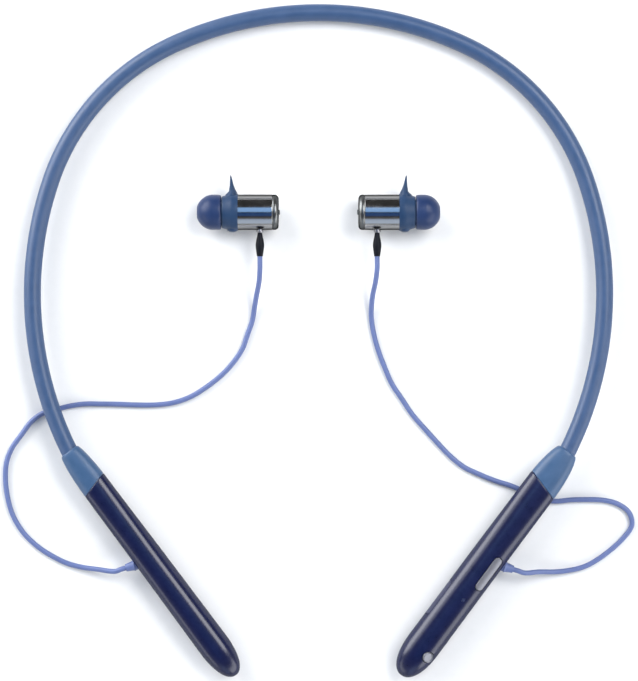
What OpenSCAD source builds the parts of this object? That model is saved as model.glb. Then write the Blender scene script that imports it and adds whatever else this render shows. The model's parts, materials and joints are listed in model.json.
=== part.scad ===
// Neckband earphones: a sprung neckband, two pods, and two magnetic earbuds on thin cords.
// It lies flat on a table: +Z is up, +Y points to the crown of the band, +X to the right.

/* [Band] */
// Diameter of the soft tube round the neck
tube_d = 5.3; // [5:0.1:5.6]
// Radius of the band at the crown, to the middle of the tube
crown_r = 107; // [104:0.5:110]
// Radius of the band at the shoulders
shoulder_r = 71.5; // [70:0.5:73]
// Radius of the band along the sides
side_r = 109.5; // [108:0.5:111]
// Diameter of the sprung wire inside the tube
wire_d = 1.2; // [1:0.1:1.4]
// Diameter of the bundle of leads inside the tube
bundle_d = 1.5; // [1.2:0.1:1.6]

/* [Pods] */
// Length of a pod with its boot
pod_len = 86.3; // [84:0.1:88]
// Length of the soft boot at the band's end of the pod
boot_len = 13; // [11:0.5:15]
// Width of the left pod just past its boot, and near its tip
left_pod_w = [8.9, 9.7];
// Width of the right pod just past its boot, and near its tip
right_pod_w = [10.7, 10.9];
// Height of the pods
pod_h = 9.6; // [9.4:0.1:10]
// Thickness of the pods' walls
pod_wall = 1.1; // [0.9:0.1:1.2]
// Angle of the pods from the X axis
pod_turn = 53.4; // [52:0.1:55]

/* [Earbuds] */
// Diameter of the metal barrel
barrel_d = 10.9; // [10.6:0.1:11.2]
// Length of the metal barrel with its rear cap
barrel_len = 13.5; // [13.2:0.1:13.7]
// Widest diameter of the soft ear tip
tip_d = 10.9; // [10.5:0.1:11.4]
// Height of the wing's fin above the earbud's axis
fin_reach = 11.3; // [10:0.1:12]
// Distance from the middle of the band to an earbud's rear face
bud_gap = 12.3; // [12:0.1:13]

/* [Cords] */
// Diameter of an earbud's cord
cord_d = 1.6; // [1.4:0.1:1.6]

/* [Hidden] */
$fn = 64;

LEFT = 0;
RIGHT = 1;
eps = 0.01;

// Band: a chain of tangent arcs, counted by how far its direction has turned from the crown
tube_r = tube_d / 2;
crown_turn = 25;
shoulder_turn = 71.5;
band_turn = 116.5;
flex_turn = 48;
crown_y = 101.6;
crown_mid = [0, crown_y - crown_r];
shoulder_mid = crown_mid + (crown_r - shoulder_r) * [-sin(crown_turn), cos(crown_turn)];
side_mid = shoulder_mid + (shoulder_r - side_r) * [-sin(shoulder_turn), cos(shoulder_turn)];
// The band's plane rises from the table at the crown to the pods, so that a cord passes under it
rise = 1.4;
sleeve_grip = 2.2;
wire_z = 0.95;
bundle_z = -0.8;
lumen_r = 1.7;
band_step = 4.5;
// The tube is split where it flexes, by a round end in a round socket on an upright axis
knuckle_r = 2.45;
socket_r = 2.8;
flex = shoulder_mid + shoulder_r * [-sin(flex_turn), cos(flex_turn)];
pod_start = side_mid + side_r * [-sin(band_turn), cos(band_turn)];
boot_z = tube_r + (crown_y - pod_start[1]) * sin(rise);

// Pods, in their own frame: x runs from the boot to the tip, y to the inner side of the band
pod_w = [left_pod_w, right_pod_w];
neck_r = 2.95;
shoulder_len = 14;
tip_from = 74.5;
belly_from = 10;
belly_to = 48;
belly_drop = 0.25;
section_power = 2.4;
tip_power = 2.2;
section_sides = 28;
split_z = 4.4;
seam = 0.06;

// Cord glands on the pods' outer sides
gland_x = 40.5;
gland_z = 4.6;
gland_lean = 20;
gland_nose = 3.2;
gland_tip_d = 2.4;
gland_hole_d = 3.1;

// Keys on the right pod
rocker_x = 45;
rocker_y = -2.8;
rocker_len = 12;
rocker_w = 2.5;
rocker_z = 7.4;
key_gap = 0.2;
key_rise = 0.35;
power_x = 76.7;
power_d = 3.4;
power_tilt = 28;
power_seat = [power_x, -3.05, 8.75];
lamp_x = 56;
lamp_y = -1.2;
lamp_d = 1.2;

// USB socket in the right pod's inner side
usb_x = 60;
usb_z = 4.9;
usb_w = 8.9;
usb_h = 3.2;
flap_len = 12.4;
flap_h = 5.2;
flap_t = 0.6;

// Boards
board_w = 6.6;
board_t = 0.8;
board_z = 4.2;

// Earbuds, in their own frame: x runs from the rear face to the ear tip
bud_y = 39.6;
bud_z = 5.8;
barrel_r = barrel_d / 2;
barrel_wall = 0.5;
cap_len = 1.9;
wing_from = barrel_len - 0.9;
wing_to = 17.6;
nozzle_r = 2.3;
core_back = 19.3;
skirt_back = 17.8;
skirt_dome = 5.2;
bud_end = 25.5;
relief_x = 5.8;
relief_end = 13.6;
collar_end = 6.3;

// Cords: each stretch between its earbud's relief and its pod's gland
cord_r = cord_d / 2;
cord_sides = 8;
left_route = [
    [-18.1, 22.0, 5.8], [-18.4, 18.0, 4.9], [-19.2, 14.0, 3.0], [-19.9, 10.0, 1.4],
    [-20.6, 6.0, 0.8], [-22.0, 2.0, 0.8], [-23.6, -2.5, 0.8], [-26.6, -7.0, 0.8],
    [-30.4, -11.0, 0.8], [-35.0, -14.6, 0.8], [-40.0, -17.6, 0.8], [-45.5, -19.4, 0.8],
    [-51.0, -20.0, 0.8], [-56.5, -20.0, 0.8], [-62.0, -19.8, 0.8], [-67.5, -19.7, 0.8],
    [-72.5, -19.7, 0.8], [-77.0, -20.3, 0.8], [-81.5, -21.4, 0.8], [-85.6, -22.6, 0.8],
    [-89.2, -25.2, 0.8], [-92.2, -29.2, 0.8], [-95.2, -33.4, 0.8], [-96.9, -38.0, 0.8],
    [-97.2, -43.5, 0.8], [-96.4, -49.5, 0.8], [-94.6, -55.0, 0.8], [-91.4, -60.0, 0.8],
    [-87.2, -64.0, 0.8], [-82.6, -67.0, 0.8], [-78.0, -69.2, 0.9], [-73.2, -70.4, 1.4],
    [-68.6, -70.9, 2.6]
];
right_route = [
    [18.1, 22.0, 5.8], [17.6, 18.0, 4.9], [16.8, 14.0, 3.0], [16.4, 10.0, 1.4],
    [16.5, 6.0, 0.8], [17.3, 1.5, 0.8], [18.7, -3.5, 0.8], [20.6, -8.5, 0.8],
    [22.8, -13.5, 0.8], [25.8, -18.0, 0.8], [29.0, -22.8, 0.8], [32.8, -27.2, 0.8],
    [36.6, -31.4, 0.8], [40.6, -35.6, 0.8], [45.0, -39.2, 0.8], [50.0, -41.6, 0.8],
    [55.0, -43.6, 0.8], [60.0, -45.2, 0.8], [64.5, -47.2, 0.8], [69.0, -49.2, 0.8],
    [73.5, -49.9, 0.8], [78.5, -49.5, 0.8], [83.5, -49.4, 0.8], [88.5, -49.6, 0.8],
    [93.0, -50.8, 0.8], [96.4, -53.4, 0.8], [97.3, -57.4, 0.8], [94.8, -61.2, 0.8],
    [91.0, -64.8, 0.8], [87.0, -67.8, 0.8], [82.6, -70.2, 0.8], [77.6, -71.4, 1.0],
    [72.8, -71.8, 1.6], [68.4, -71.7, 2.8]
];

// Frames ------------------------------------------------------------------------------

// The right-hand side is the mirror of the left
module on_side(side) {
    mirror([side == RIGHT ? 1 : 0, 0, 0]) children();
}

module in_band() {
    translate([0, crown_y, tube_r]) rotate([-rise, 0, 0]) translate([0, -crown_y, 0]) children();
}

module in_pod(side) {
    on_side(side) translate([pod_start[0], pod_start[1], 0]) rotate([0, 0, -pod_turn]) children();
}

module in_bud(side) {
    on_side(side) translate([-bud_gap, bud_y, bud_z]) mirror([1, 0, 0]) children();
}

// Turns a shape made round the Z axis so that it runs along X
module along_x() {
    rotate([0, 90, 0]) children();
}

// Band --------------------------------------------------------------------------------

// A closed skin over rings of equal size, capped flat at both ends
module skin(rings) {
    n = len(rings[0]);
    m = len(rings);
    faces = concat(
        [[for (i = [0:n - 1]) i]],
        [for (k = [0:m - 2], i = [0:n - 1])
            let (j = (i + 1) % n)
            [k * n + i, (k + 1) * n + i, (k + 1) * n + j, k * n + j]],
        [[for (i = [n - 1:-1:0]) (m - 1) * n + i]]);
    polyhedron([for (r = rings, p = r) p], faces, convexity = 6);
}

// The middle of the tube where the band has turned by t from the crown: left half above zero
function half_point(t) =
    t <= crown_turn ? crown_mid + crown_r * [-sin(t), cos(t)] :
    t <= shoulder_turn ? shoulder_mid + shoulder_r * [-sin(t), cos(t)] :
    side_mid + side_r * [-sin(t), cos(t)];
function band_point(t) = let (p = half_point(abs(t))) [sign(t) * abs(p[0]) * -1, p[1], 0];

// The band's plane tips up about the crown
function risen(p) = [
    p[0],
    crown_y + (p[1] - crown_y) * cos(rise) + p[2] * sin(rise),
    tube_r - (p[1] - crown_y) * sin(rise) + p[2] * cos(rise)];

// Rings of the given radius that follow the band, at a height z in the tube
function band_rings(from, to, r, z, sides) =
    let (steps = ceil((to - from) / band_step))
    [for (i = [0:steps])
        let (t = from + (to - from) * i / steps)
        let (c = band_point(t))
        [for (k = [0:sides - 1])
            let (a = 360 * k / sides)
            risen(c + [-sin(t) * r * cos(a), cos(t) * r * cos(a), z + r * sin(a)])]];

module band_rod(from, to, r, z) {
    skin(band_rings(from, to, r, z, 8));
}

// The soft tube: an outer and an inner skin joined by a ring at each end
module tube(from, to) {
    n = 16;
    outer = band_rings(from, to, tube_r, 0, n);
    inner = band_rings(from, to, lumen_r, 0, n);
    m = len(outer);
    half = m * n;
    faces = concat(
        [for (k = [0:m - 2], i = [0:n - 1])
            let (j = (i + 1) % n)
            [k * n + i, (k + 1) * n + i, (k + 1) * n + j, k * n + j]],
        [for (k = [0:m - 2], i = [0:n - 1])
            let (j = (i + 1) % n)
            [half + k * n + j, half + (k + 1) * n + j, half + (k + 1) * n + i, half + k * n + i]],
        [for (i = [0:n - 1])
            let (j = (i + 1) % n)
            [i, j, half + j, half + i]],
        [for (i = [0:n - 1])
            let (j = (i + 1) % n)
            let (e = (m - 1) * n)
            [e + j, e + i, half + e + i, half + e + j]]);
    polyhedron([for (r = concat(outer, inner), q = r) q], faces, convexity = 8);
}

module both_halves() {
    children();
    mirror([1, 0, 0]) children();
}

module upright_at_flex(r) {
    translate([flex[0], flex[1], -5]) cylinder(r = r, h = 20);
}

module sleeve_back() {
    color("steelblue") difference() {
        tube(-flex_turn, flex_turn);
        both_halves() upright_at_flex(socket_r);
    }
}

// The arm's tube starts with a round end, left by what is cut away in front of the flex
module arm_sleeve(side) {
    color("steelblue") on_side(side) difference() {
        tube(flex_turn - 2.6, band_turn + sleeve_grip);
        difference() {
            translate([flex[0], flex[1], -5]) rotate([0, 0, flex_turn]) translate([0, -6, 0]) cube([8, 12, 20]);
            upright_at_flex(knuckle_r);
        }
    }
}

module memory_wire() {
    end = band_turn + 3.6;
    color("silver") band_rod(-end, end, wire_d / 2, wire_z);
}

module band_leads() {
    end = band_turn + 5.2;
    color("dimgray") band_rod(-end, end, bundle_d / 2, bundle_z);
}

// A stretch near the band's end, with the cross-section given
module end_run(from, to) {
    in_band() translate([side_mid[0], side_mid[1], 0]) rotate([0, 0, 90 + from])
        rotate_extrude(angle = to - from) translate([side_r, 0]) children();
}

// The wire's end is gripped in a small brass block inside the boot
module wire_anchor(side) {
    from = band_turn + sleeve_grip;
    color("goldenrod") on_side(side) difference() {
        end_run(from + 0.15, from + 1.2) translate([0, wire_z + 0.35]) square([2.8, 2.1], center = true);
        end_run(from, from + 1.4) translate([0, wire_z]) circle(d = wire_d + 0.04, $fn = 32);
    }
}

// Pods --------------------------------------------------------------------------------

function smooth(t) = let (c = min(max(t, 0), 1)) c * c * (3 - 2 * c);
function mix(a, b, t) = a + (b - a) * t;

// Half width, underside and top of a pod at a distance x from the boot's end
function pod_full(side, x) =
    mix(pod_w[side][0], pod_w[side][1], min(max((x - shoulder_len) / (tip_from - shoulder_len), 0), 1)) / 2;
function pod_swell(x) = pow(1 - pow(1 - min(x / shoulder_len, 1), 2), 0.65);
function pod_tip(x, len) =
    x < tip_from ? 1 : pow(max(1 - pow((x - tip_from) / (len - tip_from), tip_power), 0), 1 / tip_power);
function pod_half_w(side, x) = mix(neck_r, pod_full(side, x), pod_swell(x));
function pod_low(x) =
    mix(boot_z - neck_r, mix(2.5, -belly_drop, smooth((x - belly_from) / (belly_to - belly_from))), pod_swell(x));
function pod_top(x) = mix(boot_z + neck_r, pod_h, pod_swell(x));

function rounded(c, p) = sign(c) * pow(abs(c), 2 / p);

// One closed section, drawn in by inset and shrunk at the tip
function pod_ring(side, x, inset, len) =
    let (f = pod_tip(x, len))
    let (mid = (pod_top(x) + pod_low(x)) / 2)
    let (hw = (pod_half_w(side, x) - inset) * f)
    let (hh = ((pod_top(x) - pod_low(x)) / 2 - inset) * f)
    [for (i = [0:section_sides - 1])
        let (a = 360 * (i + 0.5) / section_sides)
        [x, hw * rounded(cos(a), section_power), mid + hh * rounded(sin(a), section_power)]];

// Stations along the pod: close together in the boot's shoulder and at the tip
boot_stations = [for (i = [0:8]) boot_len * pow(i / 8, 1.7)];
function body_stations(from, len) = concat(
    [for (i = [0:12]) mix(from, tip_from, i / 12)],
    [for (i = [1:7]) tip_from + (len - tip_from) * sin(90 * i / 7.35)]);

module pod_body(side, from, inset) {
    len = pod_len - inset;
    skin([for (x = body_stations(from, len)) pod_ring(side, x, inset, len)]);
}

// The sleeve's end lies along the band, so its hole and the leads' way follow the band
module boot(side) {
    color("steelblue") difference() {
        in_pod(side) skin([for (x = boot_stations) pod_ring(side, x, 0, pod_len)]);
        on_side(side) {
            end_run(band_turn - 2, band_turn + sleeve_grip + 0.05) circle(r = tube_r + 0.02);
            end_run(band_turn + sleeve_grip, band_turn + 3.6)
                translate([0, 0.1]) square([3.4, 5], center = true);
            end_run(band_turn + 3.5, band_turn + 10) circle(r = 1.6, $fn = 32);
        }
    }
}

module slab(low, high) {
    translate([-5, -20, low]) cube([pod_len + 10, 40, high - low]);
}

// A pod's hollow shell between two heights
module pod_shell(side, low, high) {
    intersection() {
        difference() {
            pod_body(side, boot_len, 0);
            pod_body(side, boot_len + pod_wall, pod_wall);
            translate([boot_len - 1, 0, boot_z - 0.4]) along_x() cylinder(d = 2.6, h = 3, $fn = 32);
            gland_frame(side) cylinder(d = gland_hole_d, h = 6, center = true, $fn = 32);
        }
        slab(low, high);
    }
}

module left_pod_base() {
    color("midnightblue") in_pod(LEFT) pod_shell(LEFT, 0, split_z);
}

module left_pod_cover() {
    color("midnightblue") in_pod(LEFT) pod_shell(LEFT, split_z + seam, 20);
}

// Right pod: openings for the keys, the lamp, the USB socket and the microphone
module pill(length, width, height) {
    linear_extrude(height) hull() {
        for (x = [-1, 1]) translate([x * (length - width) / 2, 0]) circle(d = width, $fn = 32);
    }
}

module rocker_frame() {
    translate([rocker_x, rocker_y, 0]) children();
}

module power_frame() {
    translate(power_seat) rotate([power_tilt, 0, 0]) children();
}

module usb_frame() {
    translate([usb_x, right_pod_w[1] / 2, usb_z]) children();
}

module usb_opening() {
    usb_frame() rotate([90, 0, 0]) translate([0, 0, -2]) pill(usb_w + 0.4, usb_h + 0.4, 6);
}

// What lies within depth of the pod's skin, in a window round the socket that is wider by gap
module skin_window(depth, gap) {
    w = flap_len + 2 * gap;
    h = flap_h + 2 * gap;
    difference() {
        usb_frame() translate([-w / 2, -2, -h / 2]) cube([w, 4, h]);
        pod_body(RIGHT, boot_len, depth);
    }
}

module right_shell(low, high) {
    difference() {
        pod_shell(RIGHT, low, high);
        rocker_frame() translate([0, 0, split_z]) pill(rocker_len + 2 * key_gap, rocker_w + 2 * key_gap, 8);
        power_frame() cylinder(d = power_d + 2 * key_gap, h = 6, center = true);
        translate([lamp_x, lamp_y, split_z]) cylinder(d = lamp_d, h = 8, $fn = 32);
        usb_opening();
        skin_window(flap_t + 0.08, 0.12);
        translate([70, 3, 2.9]) rotate([-90, 0, 0]) cylinder(d = 0.9, h = 4, $fn = 32);
    }
}

module right_pod_base() {
    color("midnightblue") in_pod(RIGHT) right_shell(0, split_z);
}

module right_pod_cover() {
    color("midnightblue") in_pod(RIGHT) right_shell(split_z + seam, 20);
}

// Cord glands --------------------------------------------------------------------------

// At the outer wall, with Z pointing out of the pod and leaning towards the band
module gland_frame(side) {
    translate([gland_x, -pod_half_w(side, gland_x), gland_z])
        rotate([0, 0, -gland_lean]) rotate([90, 0, 0]) children();
}

module cord_gland(side) {
    color("cornflowerblue") in_pod(side) gland_frame(side) {
        translate([0, 0, -1.4]) cylinder(d = gland_hole_d - 0.1, h = 1.8, $fn = 32);
        translate([0, 0, 0.4])
            rotate_extrude($fn = 32) polygon([
                [0, 0], [gland_hole_d / 2 - 0.05, 0], [gland_hole_d / 2 - 0.1, 0.6],
                [gland_tip_d / 2, gland_nose - 0.4], [0, gland_nose - 0.4]]);
    }
}

// Where a cord meets its gland, worked out in the left-hand half
function turned(p, a) = [p[0] * cos(a) - p[1] * sin(a), p[0] * sin(a) + p[1] * cos(a)];
function gland_end(side) =
    let (out = gland_nose * [-sin(gland_lean), -cos(gland_lean)])
    let (p = pod_start + turned([gland_x, -pod_half_w(side, gland_x)] + out, -pod_turn))
    [side == RIGHT ? -p[0] : p[0], p[1], gland_z];

// Left pod's inside --------------------------------------------------------------------

module battery_cell() {
    length = 35;
    color("silver") in_pod(LEFT) translate([32, 0, 5.1]) along_x() {
        cylinder(d = 5.6, h = length);
        translate([0, 0, length]) cylinder(d = 2.4, h = 0.8, $fn = 32);
    }
}

module battery_board() {
    color("darkgreen") in_pod(LEFT) translate([23, -2.1, board_z - board_t]) cube([7.5, 4.2, board_t]);
}

module battery_pad() {
    color("dimgray") in_pod(LEFT) translate([46, -1.5, 1.1]) cube([20, 3, 1]);
}

// Right pod's inside -------------------------------------------------------------------

module main_board() {
    color("darkgreen") in_pod(RIGHT) difference() {
        translate([26, -board_w / 2, board_z - board_t]) cube([53, board_w, board_t]);
        translate([usb_x - usb_w / 2 - 0.3, -2.3, 0]) cube([usb_w + 0.6, 7, 10]);
    }
}

module radio_module() {
    color("silver") in_pod(RIGHT) translate([30, -2.5, board_z + 0.02]) cube([7, 5, 1.2]);
}

module antenna() {
    color("goldenrod") in_pod(RIGHT) translate([26.5, -1.5, board_z + 0.02]) cube([2.8, 3, 1.6]);
}

// Two switches under the rocker's ends and one under the power button
module key_switches() {
    color("gray") in_pod(RIGHT) {
        for (x = [-1, 1]) rocker_frame() translate([x * 4.2 - 1.1, -0.3, board_z + 0.02]) {
            cube([2.2, 2.4, 1.1]);
            translate([1.1, 0.9, 1.1]) cylinder(d = 1, h = 0.3, $fn = 32);
        }
        power_frame() translate([-1.2, -1.2, -4.1]) {
            cube([2.4, 2.4, 1.4]);
            translate([1.2, 1.2, 1.4]) cylinder(d = 1, h = 0.3, $fn = 32);
        }
        translate([power_x - 1, -1.8, board_z + 0.02]) cube([2, 1.6, 1]);
    }
}

module microphone() {
    color("goldenrod") in_pod(RIGHT) translate([68.6, 0.4, board_z + 0.02]) cube([2.8, 2.2, 1]);
}

module status_lamp() {
    color("aliceblue") in_pod(RIGHT) translate([lamp_x, lamp_y, 7.6])
        cylinder(d = lamp_d - 0.06, h = pod_h - 7.75, $fn = 32);
}

module usb_socket() {
    depth = 6.6;
    color("silver") in_pod(RIGHT) usb_frame() translate([0, -1, 0]) rotate([90, 0, 0]) {
        difference() {
            pill(usb_w, usb_h, depth);
            translate([0, 0, -1]) pill(usb_w - 0.6, usb_h - 0.6, depth);
        }
        translate([-3.3, -0.35, 1.2]) cube([6.6, 0.7, depth - 1.3]);
    }
}

// A slice of the pod's skin that swings out about its lower edge
module usb_flap() {
    color("steelblue") in_pod(RIGHT) intersection() {
        skin_window(flap_t, 0);
        pod_body(RIGHT, boot_len, 0);
    }
}

// The rocker's top stands just proud of the cover, and its two feet reach down to the switches
module volume_rocker() {
    color("lightsteelblue") in_pod(RIGHT) rocker_frame() {
        intersection() {
            translate([0, 0, rocker_z - 0.5]) pill(rocker_len, rocker_w, 4);
            translate([-rocker_x, -rocker_y, 0]) pod_body(RIGHT, boot_len, -key_rise);
        }
        translate([0, 0, rocker_z]) rotate([90, 0, 0]) cylinder(d = 1, h = 2.9, center = true, $fn = 32);
        for (x = [-1, 1]) translate([x * 4.2, 0.6, rocker_z - 1.4]) cylinder(d = 1.1, h = 1.2, $fn = 32);
    }
}

// A coin with a dished face on a short plunger
module power_button() {
    color("lightsteelblue") in_pod(RIGHT) power_frame() {
        difference() {
            translate([0, 0, -0.9]) cylinder(d = power_d, h = 1.3);
            translate([0, 0, 14.2]) sphere(r = 14, $fn = 96);
        }
        translate([0, 0, -2]) cylinder(d = 1.4, h = 1.2, $fn = 32);
    }
}

// Earbuds ------------------------------------------------------------------------------

module barrel(side) {
    color("silver") in_bud(side) difference() {
        along_x() difference() {
            translate([0, 0, cap_len]) cylinder(r = barrel_r, h = barrel_len - cap_len);
            cylinder(r = barrel_r - barrel_wall, h = 20);
        }
        translate([relief_x, 0, 0]) rotate([90, 0, 0]) cylinder(d = 2.1, h = 10, $fn = 32);
    }
}

// A turned cap with a rounded rim and a small nub at its middle
module rear_cap(side) {
    rim = 1.3;
    color("silver") in_bud(side) along_x() rotate_extrude() {
        difference() {
            union() {
                square([barrel_r - rim, cap_len]);
                translate([0, rim]) square([barrel_r, cap_len - rim]);
                translate([barrel_r - rim, rim]) circle(r = rim, $fn = 48);
            }
            translate([-10, -10]) square([10, 30]);
            translate([0, 0.9]) square([barrel_r - 1.4, 5]);
            translate([0, cap_len]) square([20, 5]);
        }
        translate([barrel_r - 1.4, cap_len - eps]) square([1.4 - barrel_wall - 0.05, 1]);
        translate([0, -0.35]) square([0.8, 0.4]);
    }
}

module magnet(side) {
    color("gray") in_bud(side) along_x() translate([0, 0, 1]) difference() {
        cylinder(r = 3.4, h = 2.4);
        translate([0, 0, -1]) cylinder(r = 1, h = 5, $fn = 32);
    }
}

// The driver's steel cup, its plate and its basket, as one turned piece
module driver(side) {
    color("dimgray") in_bud(side) along_x() rotate_extrude() polygon([
        [0.9, 8.4], [3.1, 8.4], [3.1, 10.4], [4.7, 10.9], [4.7, 11.7], [4.3, 11.7], [4.3, 11.2],
        [2.6, 10.8], [0.9, 10.8]]);
}

module diaphragm(side) {
    color("lightgray") in_bud(side) along_x() translate([0, 0, 11.72]) difference() {
        cylinder(r = 4.3, h = 0.5);
        translate([0, 0, 0.15]) cylinder(r = 2, h = 1, $fn = 32);
    }
}

// The front housing: a flange in the barrel's mouth, a cone and the nozzle's pipe
module nozzle(side) {
    color("steelblue") in_bud(side) along_x() rotate_extrude() polygon([
        [4.0, 13], [barrel_r - barrel_wall - 0.05, 13], [barrel_r - barrel_wall - 0.05, 13.55],
        [4.95, 13.75], [4.4, 15], [3.1, 17.6], [3.1, 18.4], [nozzle_r, 18.6], [nozzle_r, 22.6],
        [1.7, 22.6], [1.7, 18.4], [2.4, 17], [3.6, 14.6]]);
}

module nozzle_mesh(side) {
    color("darkgray") in_bud(side) along_x() translate([0, 0, 22.1]) cylinder(r = 1.65, h = 0.3, $fn = 32);
}

// The soft ring over the barrel's mouth, with its fin on one side and a bump on the other
module wing(side) {
    color("steelblue") in_bud(side) difference() {
        union() {
            along_x() rotate_extrude() polygon([
                [4, wing_from], [barrel_r + 0.22, wing_from], [5.75, 13.3], [5.78, 13.9],
                [5.72, 14.7], [5.4, 15.8], [5.1, 16.8], [4.8, wing_to - 0.15],
                [4.6, wing_to], [3, wing_to]]);
            fin();
            bump();
        }
        along_x() rotate_extrude() polygon([
            [0, wing_from - 1], [barrel_r + 0.03, wing_from - 1], [barrel_r + 0.03, 13.7],
            [5.12, 13.85], [4.55, 15.1], [3.25, 17.5], [3.25, wing_to + 1], [0, wing_to + 1]]);
    }
}

// A thin blade that leans forward and narrows to its point
module fin() {
    hull() {
        for (z = [-2.4, 1.6]) translate([14.1, 5.2, z]) sphere(r = 0.95, $fn = 24);
        translate([14.5, 7.6, -1.5]) sphere(r = 0.7, $fn = 20);
        translate([14.5, 7.9, 1.9]) sphere(r = 0.7, $fn = 20);
    }
    hull() {
        translate([14.5, 7.6, -1.5]) sphere(r = 0.7, $fn = 20);
        translate([14.5, 7.9, 1.9]) sphere(r = 0.7, $fn = 20);
        translate([14.7, fin_reach - 0.35, 2.6]) sphere(r = 0.35, $fn = 16);
    }
}

module bump() {
    hull() {
        for (x = [13.3, 14.9], z = [-1.5, 1.5]) translate([x, -5.3, z]) sphere(r = 0.85, $fn = 24);
    }
}

module collar(side) {
    color("silver") in_bud(side) translate([relief_x, 0, 0]) rotate([90, 0, 0]) difference() {
        translate([0, 0, barrel_r - 0.4]) cylinder(d = 2, h = collar_end - barrel_r + 0.4, $fn = 32);
        translate([0, 0, 4]) cylinder(d = 1, h = 6, $fn = 32);
    }
}

module strain_relief(side) {
    color("black") in_bud(side) translate([relief_x, 0, 0]) rotate([90, 0, 0])
        rotate_extrude($fn = 48) polygon([
            [0, collar_end], [0.75, collar_end], [0.95, 7.4], [1.3, 9.8], [1.3, 10.6], [1.05, 12.8],
            [0.95, relief_end], [0, relief_end]]);
}

// A mushroom of soft silicone: a core that grips the nozzle and a skirt folded back over it
module ear_tip(side) {
    r = tip_d / 2;
    wall = 0.7;
    dome_mid = bud_end - skirt_dome;
    color("darkslateblue") in_bud(side) along_x() rotate_extrude() difference() {
        union() {
            difference() {
                skirt_outline(r, skirt_dome, dome_mid);
                skirt_outline(r - wall, skirt_dome - wall, dome_mid);
            }
            translate([0, core_back]) square([3.1, bud_end - core_back - 1]);
        }
        translate([-20, 0]) square([20, 40]);
        translate([-1, 0]) square([nozzle_r + 1.08, 23]);
        translate([-1, 0]) square([2.8, 40]);
    }
}

module skirt_outline(r, dome, mid) {
    intersection() {
        translate([0, mid]) scale([r / dome, 1]) circle(r = dome, $fn = 96);
        translate([0, mid]) square([20, 10]);
    }
    translate([0, skirt_back]) square([r, mid - skirt_back]);
}

// Cords --------------------------------------------------------------------------------

function unit(v) = v / norm(v);
function heading(path, i) =
    unit(path[min(i + 1, len(path) - 1)] - path[max(i - 1, 0)]);
function cord_ring(path, i) =
    let (t = heading(path, i))
    let (across = unit(cross(t, [0, 0, 1])))
    let (up = cross(across, t))
    [for (k = [0:cord_sides - 1])
        let (a = 360 * k / cord_sides)
        path[i] + cord_r * (cos(a) * across + sin(a) * up)];

function relief_exit(side) =
    [(side == RIGHT ? 1 : -1) * (bud_gap + relief_x), bud_y - relief_end, bud_z];
function cord_path(side, route) = concat([relief_exit(side)], route, gland_run(side));
// The last points lie straight in line with the gland
function gland_run(side) =
    let (tip = gland_end(side))
    let (out = turned([-sin(gland_lean), -cos(gland_lean)], -pod_turn))
    let (dir = [side == RIGHT ? -out[0] : out[0], out[1], 0])
    [tip + 4 * dir - [0, 0, 0.5], tip + 1.6 * dir, tip];

module cord(side, route) {
    path = cord_path(side, route);
    color("slateblue") skin([for (i = [len(path) - 1:-1:0]) cord_ring(path, i)]);
}

module left_cord() {
    cord(LEFT, left_route);
}

module right_cord() {
    cord(RIGHT, right_route);
}

// --------------------------------------------------------------------------------------

sleeve_back();
arm_sleeve(LEFT);  // sleeve_left
arm_sleeve(RIGHT);  // sleeve_right
memory_wire();
band_leads();
wire_anchor(LEFT);  // left_wire_anchor
wire_anchor(RIGHT);  // right_wire_anchor
boot(LEFT);  // left_boot
boot(RIGHT);  // right_boot
left_pod_base();
left_pod_cover();
right_pod_base();
right_pod_cover();
cord_gland(LEFT);  // left_cord_gland
cord_gland(RIGHT);  // right_cord_gland
battery_cell();
battery_board();
battery_pad();
main_board();
radio_module();
antenna();
key_switches();
microphone();
status_lamp();
usb_socket();
usb_flap();
volume_rocker();
power_button();
barrel(LEFT);  // left_barrel
rear_cap(LEFT);  // left_rear_cap
magnet(LEFT);  // left_magnet
driver(LEFT);  // left_driver
diaphragm(LEFT);  // left_diaphragm
nozzle(LEFT);  // left_nozzle
nozzle_mesh(LEFT);  // left_nozzle_mesh
wing(LEFT);  // left_wing
collar(LEFT);  // left_collar
strain_relief(LEFT);  // left_strain_relief
ear_tip(LEFT);  // left_ear_tip
barrel(RIGHT);  // right_barrel
rear_cap(RIGHT);  // right_rear_cap
magnet(RIGHT);  // right_magnet
driver(RIGHT);  // right_driver
diaphragm(RIGHT);  // right_diaphragm
nozzle(RIGHT);  // right_nozzle
nozzle_mesh(RIGHT);  // right_nozzle_mesh
wing(RIGHT);  // right_wing
collar(RIGHT);  // right_collar
strain_relief(RIGHT);  // right_strain_relief
ear_tip(RIGHT);  // right_ear_tip
left_cord();
right_cord();
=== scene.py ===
import json
import math

import bmesh
import bpy
from mathutils import Matrix, Vector


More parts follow.
